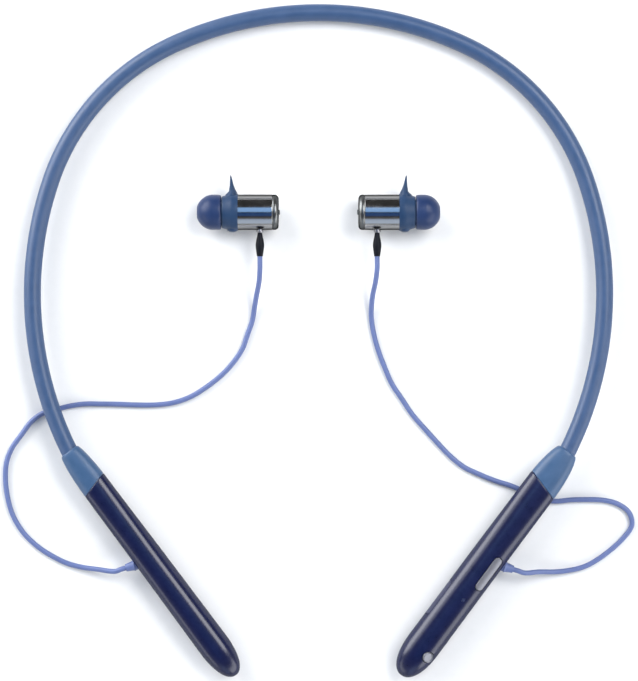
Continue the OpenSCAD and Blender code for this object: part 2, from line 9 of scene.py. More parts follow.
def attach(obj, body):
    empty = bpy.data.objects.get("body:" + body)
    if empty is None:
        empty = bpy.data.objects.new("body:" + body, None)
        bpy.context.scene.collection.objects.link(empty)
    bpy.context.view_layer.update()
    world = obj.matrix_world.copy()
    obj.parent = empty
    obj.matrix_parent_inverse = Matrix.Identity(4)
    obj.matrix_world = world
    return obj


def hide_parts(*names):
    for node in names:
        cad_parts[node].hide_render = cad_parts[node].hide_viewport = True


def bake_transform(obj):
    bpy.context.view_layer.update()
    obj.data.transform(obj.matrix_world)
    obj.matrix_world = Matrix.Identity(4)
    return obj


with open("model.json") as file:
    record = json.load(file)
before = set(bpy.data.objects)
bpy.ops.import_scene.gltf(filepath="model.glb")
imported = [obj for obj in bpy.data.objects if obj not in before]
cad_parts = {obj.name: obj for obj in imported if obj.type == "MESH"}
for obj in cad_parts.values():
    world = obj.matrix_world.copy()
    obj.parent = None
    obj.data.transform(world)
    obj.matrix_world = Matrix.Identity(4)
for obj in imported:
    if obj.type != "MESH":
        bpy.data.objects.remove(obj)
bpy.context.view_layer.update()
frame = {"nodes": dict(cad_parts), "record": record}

MM = 0.001
LEFT, RIGHT = 0, 1
SIDES = ((LEFT, "left"), (RIGHT, "right"))
scene = bpy.context.scene

# Camera and view ----------------------------------------------------------------------

# The view's height in metres, on a plane at the height of the object's middle
VIEW_LONG_SIDE = 0.2105
LENS, SENSOR = 150.0, 36.0
VIEW_PLANE_Z = 0.005
VIEW_X = 0.00015

camera_data = bpy.data.cameras.new("camera")
camera_data.lens = LENS
camera_data.sensor_width = SENSOR
camera = bpy.data.objects.new("camera", camera_data)
camera.location = (VIEW_X, 0.0, VIEW_PLANE_Z + VIEW_LONG_SIDE * LENS / SENSOR)
camera.rotation_euler = (0, 0, 0)
scene.collection.objects.link(camera)
scene.camera = camera
scene.view_settings.view_transform = "Standard"

# The part's own sizes, in millimetres, as part.scad has them ----------------------------
# Letters in the names: R radius, D diameter, W width, H height, LEN length, X Y Z place

TUBE_R = 2.65
LUMEN_R = 1.7
WIRE_R, WIRE_Z = 0.6, 0.95
LEADS_R, LEADS_Z = 0.75, -0.8
CROWN_R, SHOULDER_R, SIDE_R = 107.0, 71.5, 109.5
CROWN_TURN, SHOULDER_TURN, BAND_TURN = (math.radians(a) for a in (25, 71.5, 116.5))
GRIP_TURN = math.radians(2.2)
CROWN_Y = 101.6
RISE = math.radians(1.4)

POD_W = ((8.9, 9.7), (10.7, 10.9))
POD_LEN, BOOT_LEN, POD_H, POD_WALL = 86.3, 13.0, 9.6, 1.1
POD_TURN = math.radians(53.4)
NECK_R, SHOULDER_LEN, TIP_FROM = 2.95, 14.0, 74.5
BELLY_FROM, BELLY_TO, BELLY_RISE, BELLY_DROP = 10.0, 48.0, 2.5, 0.25
SECTION_POWER, TIP_POWER = 2.4, 2.2
SPLIT_Z, SEAM = 4.4, 0.06
# The slant of the joint from boot to pod: it comes in over SKEW_IN, and fades over SKEW_OUT up to SKEW_END
SKEW, SKEW_IN, SKEW_END, SKEW_OUT = 0.3, 6.0, 46.0, 22.0

GLAND_X, GLAND_Z, GLAND_LEAN, GLAND_NOSE = 40.5, 4.6, math.radians(20), 3.2
GLAND_R, GLAND_HOLE_R = 1.5, 1.55
ROCKER_X, ROCKER_Y, ROCKER_LEN, ROCKER_W, ROCKER_Z = 45.0, -2.8, 12.0, 2.5, 7.4
POWER_SEAT, POWER_D, POWER_TILT = (76.7, -3.05, 8.75), 3.4, math.radians(28)
LAMP_X, LAMP_Y, LAMP_D = 56.0, -1.2, 1.2
USB_X, USB_Z, USB_W, USB_H = 60.0, 4.9, 8.9, 3.2
FLAP_LEN, FLAP_H, FLAP_T, FLAP_GAP = 12.4, 5.2, 0.6, 0.12
KEY_GAP, KEY_RISE = 0.2, 0.35

BUD_GAP, BUD_Y, BUD_Z = 12.3, 39.6, 5.8
BARREL_R, BARREL_LEN, CAP_LEN, BARREL_WALL = 5.45, 13.5, 1.9, 0.5
WING_FROM, WING_TO = 12.6, 17.6
RELIEF_X, RELIEF_END, COLLAR_END = 5.8, 13.6, 6.3
CORD_HOLE_R = 1.02
TIP_R, TIP_TOP, TIP_DOME, SKIRT_BACK = 5.45, 25.5, 5.2, 17.8

CORD_R = 0.8
# Points that each cord's middle line passes, as in part.scad
LEFT_ROUTE = [
    (-18.1, 22.0, 5.8), (-18.4, 18.0, 4.9), (-19.2, 14.0, 3.0), (-19.9, 10.0, 1.4),
    (-20.6, 6.0, 0.8), (-22.0, 2.0, 0.8), (-23.6, -2.5, 0.8), (-26.6, -7.0, 0.8),
    (-30.4, -11.0, 0.8), (-35.0, -14.6, 0.8), (-40.0, -17.6, 0.8), (-45.5, -19.4, 0.8),
    (-51.0, -20.0, 0.8), (-56.5, -20.0, 0.8), (-62.0, -19.8, 0.8), (-67.5, -19.7, 0.8),
    (-72.5, -19.7, 0.8), (-77.0, -20.3, 0.8), (-81.5, -21.4, 0.8), (-85.6, -22.6, 0.8),
    (-89.2, -25.2, 0.8), (-92.2, -29.2, 0.8), (-95.2, -33.4, 0.8), (-96.9, -38.0, 0.8),
    (-97.2, -43.5, 0.8), (-96.4, -49.5, 0.8), (-94.6, -55.0, 0.8), (-91.4, -60.0, 0.8),
    (-87.2, -64.0, 0.8), (-82.6, -67.0, 0.8), (-78.0, -69.2, 0.9), (-73.2, -70.4, 1.4),
    (-68.6, -70.9, 2.6),
]
RIGHT_ROUTE = [
    (18.1, 22.0, 5.8), (17.6, 18.0, 4.9), (16.8, 14.0, 3.0), (16.4, 10.0, 1.4),
    (16.5, 6.0, 0.8), (17.3, 1.5, 0.8), (18.7, -3.5, 0.8), (20.6, -8.5, 0.8),
    (22.8, -13.5, 0.8), (25.8, -18.0, 0.8), (29.0, -22.8, 0.8), (32.8, -27.2, 0.8),
    (36.6, -31.4, 0.8), (40.6, -35.6, 0.8), (45.0, -39.2, 0.8), (50.0, -41.6, 0.8),
    (55.0, -43.6, 0.8), (60.0, -45.2, 0.8), (64.5, -47.2, 0.8), (69.0, -49.2, 0.8),
    (73.5, -49.9, 0.8), (78.5, -49.5, 0.8), (83.5, -49.4, 0.8), (88.5, -49.6, 0.8),
    (93.0, -50.8, 0.8), (96.4, -53.4, 0.8), (97.3, -57.4, 0.8), (94.8, -61.2, 0.8),
    (91.0, -64.8, 0.8), (87.0, -67.8, 0.8), (82.6, -70.2, 0.8), (77.6, -71.4, 1.0),
    (72.8, -71.8, 1.6), (68.4, -71.7, 2.8),
]

# Materials -----------------------------------------------------------------------------


def rgba(colour):
    return (*colour, 1.0)


SHARP_NODE = math.radians(32)
IOR, SHEEN_ROUGH = 1.5, 0.4
FLECK_SIZE, SCUFF_SIZE = 0.09, 0.9


def build_material(name, colour, rough, *, metallic=0.0, spec=0.5, edge=None, coat=0.0, coat_rough=0.03,
                   coat_ior=1.5, sheen=0.0, grain=0.12, bump=0.004, mottle=3.0, vary=0.06, rough_vary=0.06,
                   stretch=(1, 1, 1), fleck=0.0, scuff=0.0):
    """A principled finish: a fine grain for bump, a broad mottle for colour and gloss, and optional fleck and scuffs.
    grain and mottle are feature sizes in millimetres, and bump is a height in millimetres. vary and rough_vary say
    how far colour and roughness wander. edge is a metal's colour at a glancing angle."""
    mat = bpy.data.materials.new(name)
    mat.use_nodes = True
    nodes, links = mat.node_tree.nodes, mat.node_tree.links
    shader = nodes["Principled BSDF"]
    shader.inputs["Metallic"].default_value = metallic
    shader.inputs["Specular IOR Level"].default_value = spec
    shader.inputs["IOR"].default_value = IOR
    shader.inputs["Coat Weight"].default_value = coat
    shader.inputs["Coat Roughness"].default_value = coat_rough
    shader.inputs["Coat IOR"].default_value = coat_ior
    shader.inputs["Sheen Weight"].default_value = sheen
    shader.inputs["Sheen Roughness"].default_value = SHEEN_ROUGH
    if edge:
        shader.inputs["Specular Tint"].default_value = rgba(edge)
    place = nodes.new("ShaderNodeTexCoord")
    mapping = nodes.new("ShaderNodeMapping")
    mapping.inputs["Scale"].default_value = stretch
    links.new(place.outputs["Object"], mapping.inputs["Vector"])

    def noise(size, detail, source):
        """A noise whose features are size millimetres wide."""
        n = nodes.new("ShaderNodeTexNoise")
        n.inputs["Scale"].default_value = 1.0 / (size * MM)
        n.inputs["Detail"].default_value = detail
        n.inputs["Roughness"].default_value = 0.6
        links.new(source, n.inputs["Vector"])
        return n.outputs["Fac"]

    def ranged(value, low, high, start=0.3, stop=0.7):
        """Maps start to stop onto low to high."""
        n = nodes.new("ShaderNodeMapRange")
        n.inputs["From Min"].default_value = start
        n.inputs["From Max"].default_value = stop
        n.inputs["To Min"].default_value = low
        n.inputs["To Max"].default_value = high
        links.new(value, n.inputs["Value"])
        return n.outputs["Result"]

    def mixed(fac, a, b):
        """A colour between a and b, each a colour or a socket."""
        n = nodes.new("ShaderNodeMix")
        n.data_type = "RGBA"
        links.new(fac, n.inputs[0])
        for socket, value in ((n.inputs[6], a), (n.inputs[7], b)):
            if isinstance(value, tuple):
                socket.default_value = rgba(value)
            else:
                links.new(value, socket)
        return n.outputs[2]

    grain_value = noise(grain, 3.0, mapping.outputs["Vector"])
    mottle_value = noise(mottle, 4.0, place.outputs["Object"])
    darker = tuple(c * (1 - vary) for c in colour)
    lighter = tuple(min(1.0, c * (1 + vary) + 0.002) for c in colour)
    shade = mixed(ranged(mottle_value, 0, 1), darker, lighter)
    grain_tone = tuple(min(1.0, c * 1.6 + 0.01) for c in colour)
    shade = mixed(ranged(grain_value, 0, vary * 1.5), shade, grain_tone)
    if fleck:
        cells = nodes.new("ShaderNodeTexVoronoi")
        cells.inputs["Scale"].default_value = 1.0 / (FLECK_SIZE * MM)
        links.new(place.outputs["Object"], cells.inputs["Vector"])
        sparkle = ranged(cells.outputs["Distance"], fleck, 0.0, 0.0, 0.35)
        shade = mixed(sparkle, shade, tuple(min(1.0, c * 3 + 0.02) for c in colour))
    links.new(shade, shader.inputs["Base Color"])
    roughness = ranged(mottle_value, max(0.02, rough - rough_vary), min(1.0, rough + rough_vary))
    if scuff:
        lines = nodes.new("ShaderNodeTexNoise")
        lines.inputs["Scale"].default_value = 1.0 / (SCUFF_SIZE * MM)
        lines.inputs["Detail"].default_value = 6.0
        lines.inputs["Distortion"].default_value = 1.4
        links.new(place.outputs["Object"], lines.inputs["Vector"])
        add = nodes.new("ShaderNodeMath")
        add.operation = "ADD"
        links.new(roughness, add.inputs[0])
        links.new(ranged(lines.outputs["Fac"], 0, scuff, 0.58, 0.75), add.inputs[1])
        roughness = add.outputs[0]
    links.new(roughness, shader.inputs["Roughness"])
    bumps = nodes.new("ShaderNodeBump")
    bumps.inputs["Strength"].default_value = 1.0
    bumps.inputs["Distance"].default_value = bump * MM
    links.new(grain_value, bumps.inputs["Height"])
    links.new(bumps.outputs["Normal"], shader.inputs["Normal"])
    return mat


# Each row: base colour, roughness, and what differs from a plain moulded finish
FINISHES = {
    "band_silicone": ((0.025, 0.057, 0.133), 0.42, dict(sheen=0.03, grain=0.16, bump=0.010, vary=0.07, spec=0.45)),
    "boot_silicone": ((0.026, 0.067, 0.145), 0.42, dict(sheen=0.03, grain=0.14, bump=0.010, vary=0.07, spec=0.45)),
    "pod_gloss": ((0.0026, 0.0048, 0.031), 0.3, dict(coat=0.33, coat_rough=0.25, coat_ior=2.0, grain=0.9,
        bump=0.0015, vary=0.14, fleck=0.22, scuff=0.05, spec=0.0)),
    "key_metal": ((0.14, 0.143, 0.165), 0.36, dict(metallic=0.5, grain=0.1, bump=0.0015, rough_vary=0.02, vary=0.06,
        stretch=(1, 6, 6))),
    "lamp_lens": ((0.02, 0.024, 0.06), 0.25, dict(coat=0.4, grain=0.3, bump=0.002)),
    "barrel_metal": ((0.30, 0.30, 0.30), 0.17, dict(metallic=1.0, grain=0.22, bump=0.0012, vary=0.03,
        rough_vary=0.03, stretch=(9, 0.35, 0.35), scuff=0.05, edge=(0.06, 0.06, 0.055))),
    "cap_metal": ((0.13, 0.135, 0.135), 0.33, dict(metallic=1.0, grain=0.2, bump=0.0015, vary=0.03, rough_vary=0.03,
        stretch=(6, 0.6, 0.6), scuff=0.05, edge=(0.08, 0.08, 0.075))),
    "collar_metal": ((0.3, 0.3, 0.32), 0.3, dict(metallic=1.0, grain=0.1, bump=0.001, vary=0.05)),
    "relief_rubber": ((0.002, 0.0027, 0.006), 0.5, dict(grain=0.12, bump=0.006, vary=0.15, spec=0.12)),
    "wing_silicone": ((0.0125, 0.034, 0.082), 0.42, dict(sheen=0.02, grain=0.12, bump=0.006, vary=0.06, spec=0.18)),
    "tip_silicone": ((0.0105, 0.025, 0.080), 0.38, dict(sheen=0.02, grain=0.12, bump=0.004, vary=0.07, spec=0.24)),
    "nozzle_plastic": ((0.04, 0.07, 0.14), 0.4, dict(grain=0.12, bump=0.004)),
    "mesh_steel": ((0.35, 0.35, 0.37), 0.35, dict(metallic=1.0, grain=0.08, bump=0.02, vary=0.3)),
    "magnet_nickel": ((0.55, 0.54, 0.5), 0.2, dict(metallic=1.0, grain=0.2, bump=0.002, scuff=0.1)),
    "driver_steel": ((0.25, 0.25, 0.27), 0.35, dict(metallic=0.8, grain=0.2, bump=0.003, scuff=0.1)),
    "diaphragm_film": ((0.65, 0.62, 0.5), 0.3, dict(grain=0.3, bump=0.004)),
    "spring_wire": ((0.5, 0.5, 0.52), 0.25, dict(metallic=1.0, grain=0.1, bump=0.002)),
    "lead_bundle": ((0.06, 0.06, 0.07), 0.5, dict(grain=0.2, bump=0.01)),
    "anchor_brass": ((0.72, 0.5, 0.22), 0.3, dict(metallic=1.0, grain=0.1, bump=0.002)),
    "battery_can": ((0.6, 0.6, 0.62), 0.35, dict(metallic=0.9, grain=0.5, bump=0.006, scuff=0.1)),
    "board_green": ((0.015, 0.14, 0.06), 0.35, dict(grain=0.3, bump=0.004, vary=0.12)),
    "module_can": ((0.6, 0.6, 0.6), 0.35, dict(metallic=1.0, grain=0.15, bump=0.002)),
    "antenna_ceramic": ((0.72, 0.66, 0.5), 0.55, dict(grain=0.1, bump=0.004)),
    "switch_steel": ((0.5, 0.5, 0.5), 0.35, dict(metallic=0.9, grain=0.15, bump=0.002)),
    "mic_can": ((0.7, 0.6, 0.35), 0.3, dict(metallic=1.0, grain=0.15, bump=0.002)),
    "socket_steel": ((0.55, 0.55, 0.57), 0.3, dict(metallic=1.0, grain=0.15, bump=0.002, scuff=0.1)),
    "foam_pad": ((0.05, 0.05, 0.05), 0.9, dict(grain=0.25, bump=0.05)),
    "flap_rubber": ((0.008, 0.011, 0.045), 0.5, dict(sheen=0.05, grain=0.14, bump=0.008, vary=0.1, spec=0.4)),
    "cord_rubber": ((0.082, 0.115, 0.262), 0.46, dict(sheen=0.03, grain=0.14, bump=0.006, vary=0.06, spec=0.45)),
}
M = {name: build_material(name, colour, rough, **more) for name, (colour, rough, more) in FINISHES.items()}

SLOT_OF = {s["node"]: s["material_slot"] for s in frame["record"]["subparts"]}
for node, obj in frame["nodes"].items():
    obj.data.materials.clear()
    obj.data.materials.append(M[SLOT_OF[node]])
    obj.data.shade_smooth()
    obj.data.set_sharp_from_angle(angle=SHARP_NODE)

# Meshes --------------------------------------------------------------------------------


ON_AXIS = 1e-6


def mesh_object(name, points, faces):
    """A mesh in millimetres, with its normals outwards."""
    mesh = bpy.data.meshes.new(name)
    mesh.from_pydata([tuple(p) for p in points], [], faces)
    bm = bmesh.new()
    bm.from_mesh(mesh)
    bmesh.ops.remove_doubles(bm, verts=bm.verts, dist=1e-4)
    bmesh.ops.recalc_face_normals(bm, faces=bm.faces)
    bm.to_mesh(mesh)
    bm.free()
    obj = bpy.data.objects.new(name, mesh)
    scene.collection.objects.link(obj)
    return obj


def quad(k, i, n, m):
    """The face from point i of ring k to the next point and the next ring, of n points and m rings."""
    after, beside = (k + 1) % m, (i + 1) % n
    return k * n + i, after * n + i, after * n + beside, k * n + beside


def circle(radius, sides):
    """Points of a circle about the origin."""
    return [
        (radius * math.cos(2 * math.pi * k / sides), radius * math.sin(2 * math.pi * k / sides))
        for k in range(sides)]


def lofted(name, rings, closed=False):
    """A closed skin over rings of equal size, capped flat at both ends, or joined round when closed."""
    n, m = len(rings[0]), len(rings)
    points = [p for ring in rings for p in ring]
    faces = [quad(k, i, n, m) for k in range(m if closed else m - 1) for i in range(n)]
    if not closed:
        faces += [tuple(range(n - 1, -1, -1)), tuple((m - 1) * n + i for i in range(n))]
    return mesh_object(name, points, faces)


def boolean(obj, others, operation="DIFFERENCE"):
    """Cuts others from obj, or joins them to it, and removes them."""
    for other in others:
        mod = obj.modifiers.new("cut", "BOOLEAN")
        mod.operation, mod.solver, mod.object = operation, "EXACT", other
        bpy.context.view_layer.update()
        mesh = bpy.data.meshes.new_from_object(obj.evaluated_get(bpy.context.evaluated_depsgraph_get()))
        obj.modifiers.clear()
        obj.data = mesh
    for other in others:
        bpy.data.objects.remove(other, do_unlink=True)
    return obj


def settled(obj, slot, angle=38):
    """Turns a millimetre mesh into metres, with its finish and shading."""
    obj.data.transform(Matrix.Scale(MM, 4))
    obj.data.materials.clear()
    obj.data.materials.append(M[slot])
    obj.data.shade_smooth()
    obj.data.set_sharp_from_angle(angle=math.radians(angle))
    return obj


def smooth_profile(points, steps=6):
    """Catmull-Rom through points in any number of dimensions."""
    made = []
    for i in range(len(points) - 1):
        a, b = points[i], points[i + 1]
        before = points[i - 1] if i else tuple(2 * u - v for u, v in zip(a, b))
        after = points[i + 2] if i + 2 < len(points) else tuple(2 * v - u for u, v in zip(a, b))
        for k in range(steps):
            t = k / steps
            made.append(tuple(
                0.5 * (2 * q + (r - p) * t + (2 * p - 5 * q + 4 * r - s) * t * t
                       + (3 * q - p - 3 * r + s) * t ** 3)
                for p, q, r, s in zip(before, a, b, after)))
    return made + [tuple(points[-1])]


def rounded_corners(points, radius, steps=4):
    """A closed outline with its corners rounded. A point may carry its own radius as a third number."""
    made = []
    n = len(points)
    for i in range(n):
        p = Vector(points[i][:2])
        r = points[i][2] if len(points[i]) > 2 else radius
        a, b = Vector(points[i - 1][:2]) - p, Vector(points[(i + 1) % n][:2]) - p
        cut = min(r, a.length * 0.45, b.length * 0.45)
        if cut < 1e-4:
            made.append(tuple(p))
            continue
        start, end = p + a.normalized() * cut, p + b.normalized() * cut
        for k in range(steps + 1):
            t = k / steps
            made.append(tuple(start * (1 - t) ** 2 + p * 2 * t * (1 - t) + end * t * t))
    return made


def lathe(name, profile, place, sides=64):
    """Turns a closed outline of (radius, height) points. place maps (across, up, height) to the row frame.
    An outline that touches the axis is closed there."""
    points = [place(a, b, h) for r, h in profile for a, b in circle(r, sides)]
    m = len(profile)
    faces = []
    for k in range(m):
        if profile[k][0] < ON_AXIS and profile[(k + 1) % m][0] < ON_AXIS:
            continue
        faces += [quad(k, i, sides, m) for i in range(sides)]
    return mesh_object(name, points, faces)


# Places ---------------------------------------------------------------------------------

CROWN_MID = Vector((0, CROWN_Y - CROWN_R))
SHOULDER_MID = CROWN_MID + (CROWN_R - SHOULDER_R) * Vector((-math.sin(CROWN_TURN), math.cos(CROWN_TURN)))
SIDE_MID = SHOULDER_MID + (SHOULDER_R - SIDE_R) * Vector((-math.sin(SHOULDER_TURN), math.cos(SHOULDER_TURN)))


def half_point(turn):
    """The band's middle line on the left, by its turn from the crown."""
    middle, radius = (
        (CROWN_MID, CROWN_R) if turn <= CROWN_TURN
        else (SHOULDER_MID, SHOULDER_R) if turn <= SHOULDER_TURN
        else (SIDE_MID, SIDE_R))
    return middle + radius * Vector((-math.sin(turn), math.cos(turn)))


POD_START = half_point(BAND_TURN)
BOOT_Z = TUBE_R + (CROWN_Y - POD_START.y) * math.sin(RISE)


def risen(x, y, z):
    """The band's plane tips up about the crown."""
    return Vector((
        x,
        CROWN_Y + (y - CROWN_Y) * math.cos(RISE) + z * math.sin(RISE),
        TUBE_R - (y - CROWN_Y) * math.sin(RISE) + z * math.cos(RISE)))


def band_ring(side, turn, radius, z, count):
    """A round section of the band, its middle z above the band's own."""
    c = half_point(turn)
    ring = []
    for a, b in circle(1, count):
        p = risen(c.x - math.sin(turn) * radius * a, c.y + math.cos(turn) * radius * a, z + radius * b)
        ring.append(on_side(side, p))
    return ring


def on_side(side, p):
    """The left side's point, mirrored for the right."""
    return Vector((-p[0], p[1], p[2])) if side == RIGHT else Vector(p)


def in_pod(side, x, y, z):
    """Places a point of the pod: x along it from the boot, y across it, inwards."""
    c, s = math.cos(POD_TURN), math.sin(POD_TURN)
    return on_side(side, (POD_START.x + x * c + y * s, POD_START.y - x * s + y * c, z))


def in_bud(side, x, y, z):
    """Places a point of the earbud: x along its axis from the rear face."""
    return on_side(side, (-BUD_GAP - x, BUD_Y + y, BUD_Z + z))


def bud_axis(side):
    """Places a turned piece on the earbud's axis, its height counted from the rear face."""
    return lambda a, b, h: in_bud(side, h, a, b)


def relief_axis(side):
    """Places a turned piece on the cord's exit, its height counted down from the earbud's axis."""
    return lambda a, b, h: in_bud(side, RELIEF_X + a, -h, b)


def smooth(t):
    """A soft step from 0 to 1."""
    t = min(max(t, 0.0), 1.0)
    return t * t * (3 - 2 * t)


def mix(a, b, t):
    return a + (b - a) * t


def pod_swell(x):
    """How far the boot has grown from the neck to the pod's full section."""
    return (1 - (1 - min(max(x, 0.0) / SHOULDER_LEN, 1)) ** 2) ** 0.65


def pod_half_w(side, x):
    """Half the pod's width, x along it."""
    along = min(max((x - SHOULDER_LEN) / (TIP_FROM - SHOULDER_LEN), 0), 1)
    full = mix(*POD_W[side], along) / 2
    return mix(NECK_R, full, pod_swell(x))


def pod_low(x):
    """The height of its underside, before the flat is cut at z = 0."""
    belly = mix(BELLY_RISE, -BELLY_DROP, smooth((x - BELLY_FROM) / (BELLY_TO - BELLY_FROM)))
    return mix(BOOT_Z - NECK_R, belly, pod_swell(x))


def pod_top(x):
    return mix(BOOT_Z + NECK_R, POD_H, pod_swell(x))


def pod_tip(x, length):
    """The share of the section that is left in the rounded end."""
    if x < TIP_FROM:
        return 1.0
    return max(1 - ((x - TIP_FROM) / (length - TIP_FROM)) ** TIP_POWER, 0) ** (1 / TIP_POWER)


def pod_size(side, x, inset):
    """Middle height, half width and half height of the pod's section."""
    f = pod_tip(x, POD_LEN - inset)
    mid = (pod_top(x) + pod_low(x)) / 2
    return mid, (pod_half_w(side, x) - inset) * f, ((pod_top(x) - pod_low(x)) / 2 - inset) * f


def power_of(c, p):
    """A sine or cosine for a superellipse of power p."""
    return math.copysign(abs(c) ** (2 / p), c)


def pod_point(side, x, angle, inset=0.0):
    """A point of the pod's skin, with the section flat at z = 0, where the pod rests."""
    mid, hw, hh = pod_size(side, x, inset)
    z = mid + hh * power_of(math.sin(angle), SECTION_POWER)
    return hw * power_of(math.cos(angle), SECTION_POWER), max(z, inset)


def skewed(side, x, angle, inset=0.0):
    """The same where the boot meets the pod: the joint lies at a slant across it."""
    fade = smooth(min(x / SKEW_IN, (SKEW_END - x) / SKEW_OUT))
    y, _ = pod_point(side, x, angle, inset)
    moved = x - SKEW * y * fade
    y, z = pod_point(side, moved, angle, inset)
    return in_pod(side, moved, y, z)


def skin_y(side, x, z, inset=0.0):
    """How far the pod's inner wall is from its middle line, at a height."""
    mid, hw, hh = pod_size(side, x, inset)
    u = min(abs((z - mid) / hh), 1.0)
    return hw * (1 - u ** SECTION_POWER) ** (1 / SECTION_POWER)


def skin_z(side, x, y, inset=0.0):
    """The height of the pod's top at a place across it."""
    mid, hw, hh = pod_size(side, x, inset)
    u = min(abs(y / hw), 1.0)
    return mid + hh * (1 - u ** SECTION_POWER) ** (1 / SECTION_POWER)


# Cords ----------------------------------------------------------------------------------


def cord_path(side, route):
    """From the strain relief along the route into the gland."""
    out = (-math.sin(GLAND_LEAN), -math.cos(GLAND_LEAN))
    tip = in_pod(side, GLAND_X + GLAND_NOSE * out[0], -pod_half_w(side, GLAND_X) + GLAND_NOSE * out[1], GLAND_Z)
    origin = in_pod(side, 0, 0, 0)
    direction = in_pod(side, out[0], out[1], 0) - origin
    start = in_bud(side, RELIEF_X, -RELIEF_END, 0)
    points = [start, *route, tip + 4 * direction - Vector((0, 0, 0.5)), tip + 1.6 * direction, tip]
    return [Vector(p) for p in smooth_profile([tuple(p) for p in points], 5)]


def swept(name, path, radius, sides=14):
    """A round tube along a path."""
    rings = []
    for i, p in enumerate(path):
        t = (path[min(i + 1, len(path) - 1)] - path[max(i - 1, 0)]).normalized()
        across = t.cross(Vector((0, 0, 1))).normalized()
        up = across.cross(t)
        rings.append([p + radius * (a * across + b * up) for a, b in circle(1, sides)])
    return lofted(name, rings)


for side, word in SIDES:
    path = cord_path(side, LEFT_ROUTE if side == LEFT else RIGHT_ROUTE)
    cord = settled(swept(word + "_cord_tube", path, CORD_R), "cord_rubber")
    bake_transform(cord)
    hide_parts(word + "_cord")

# Band -----------------------------------------------------------------------------------

# How fine the band's skins are: the sides round the tube, and round the wire and the leads
BAND_SIDES, ROD_SIDES = 44, 14


def band_turns(to, step):
    """Even turns from the crown to a turn, at most step degrees apart."""
    count = math.ceil(to / math.radians(step))
    return [to * i / count for i in range(count + 1)]


for side, word in SIDES:
    # The soft tube: outer and inner skins as one ring of rings, closed at both ends
    turns = band_turns(BAND_TURN + GRIP_TURN, 0.8)
    outer = [band_ring(side, t, TUBE_R, 0, BAND_SIDES) for t in turns]
    inner = [band_ring(side, t, LUMEN_R, 0, BAND_SIDES) for t in turns]
    band = lofted(word + "_band_tube", outer + inner[::-1], closed=True)
    settled(band, "band_silicone")
    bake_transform(band)
    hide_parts("sleeve_back", "sleeve_" + word)
    for name, node, slot, radius, z, more in (
            ("_spring_wire", "memory_wire", "spring_wire", WIRE_R, WIRE_Z, 3.6),
            ("_lead_bundle", "band_leads", "lead_bundle", LEADS_R, LEADS_Z, 5.2)):
        turns = band_turns(BAND_TURN + math.radians(more), 1.5)
        rod = settled(lofted(word + name, [band_ring(side, t, radius, z, ROD_SIDES) for t in turns]), slot)
        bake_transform(rod)
        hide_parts(node)

# Boots and pods -------------------------------------------------------------------------

AROUND = 80
PART_GAP = 0.05
BORE_SIDES, BORE_CLEAR = 32, 0.02
THROAT_R, THROAT_DROP = 2.3, 0.3


def full_ring(side, x, inset=0.0):
    """A whole section of the pod."""
    return [skewed(side, x, 2 * math.pi * (i + 0.5) / AROUND, inset) for i in range(AROUND)]


def half_ring(side, x, top, inset=0.0):
    """The part of a section above or below the split, with its edge eased."""
    mid, hw, hh = pod_size(side, x, inset)
    ease = min(0.16, hw * 0.2)
    z = SPLIT_Z + (SEAM if top else 0.0) + (ease if top else -ease)
    u = max(-0.97, min(0.97, (z - mid) / hh))
    start = math.asin(power_of(u, 4 / SECTION_POWER) if u else 0.0)
    count = AROUND // 2
    sweep = math.pi - 2 * start if top else -math.pi - 2 * start
    angles = [start + sweep * i / count for i in range(count + 1)]
    ring = [skewed(side, x, a, inset) for a in angles]
    flat = SPLIT_Z + (SEAM if top else 0.0)
    first, last = ring[0], ring[-1]
    across = (last - first).normalized()

    def edge(p, inward, height):
        q = p + across * inward
        return Vector((q.x, q.y, height))

    step = flat - z
    return (
        [edge(first, ease, flat), edge(first, ease * 0.3, z + step * 0.7)]
        + ring
        + [edge(last, -ease * 0.3, z + step * 0.7), edge(last, -ease, flat)])


def stations(start, length, last):
    """Where along the pod its sections stand, closer together round the end."""
    body = [start, start + 0.12, start + 0.3]
    count = 66
    body += [mix(start + 0.9, TIP_FROM, i / count) for i in range(count + 1)]
    body += [TIP_FROM + (length - TIP_FROM) * math.sin(math.pi / 2 * i / 26 * last) for i in range(1, 27)]
    return body


def pod_half(side, word, top):
    """The hollow base or cover of a pod."""
    name = word + ("_pod_cover_shell" if top else "_pod_base_shell")
    start = BOOT_LEN + PART_GAP
    rings = []
    for x in stations(start, POD_LEN, 0.997 if top else 0.975):
        eased = {0: 0.14, 1: 0.04}.get(len(rings), 0.0)
        rings.append(half_ring(side, x, top, eased))
    shell = lofted(name, rings)
    inside_from = BOOT_LEN + POD_WALL
    hollow = lofted("hollow", [
        full_ring(side, x, POD_WALL) for x in stations(inside_from, POD_LEN - POD_WALL, 0.975)])
    return boolean(shell, [hollow])


def pill_outline(length, width, inset, count=14):
    """The outline of a slot with round ends, drawn in by inset."""
    r = width / 2 - inset
    half = (length - width) / 2
    made = []
    for end in (1, -1):
        for i in range(count + 1):
            a = -math.pi / 2 + math.pi * i / count
            made.append((end * (half + r * math.cos(a)), end * r * math.sin(a)))
    return made


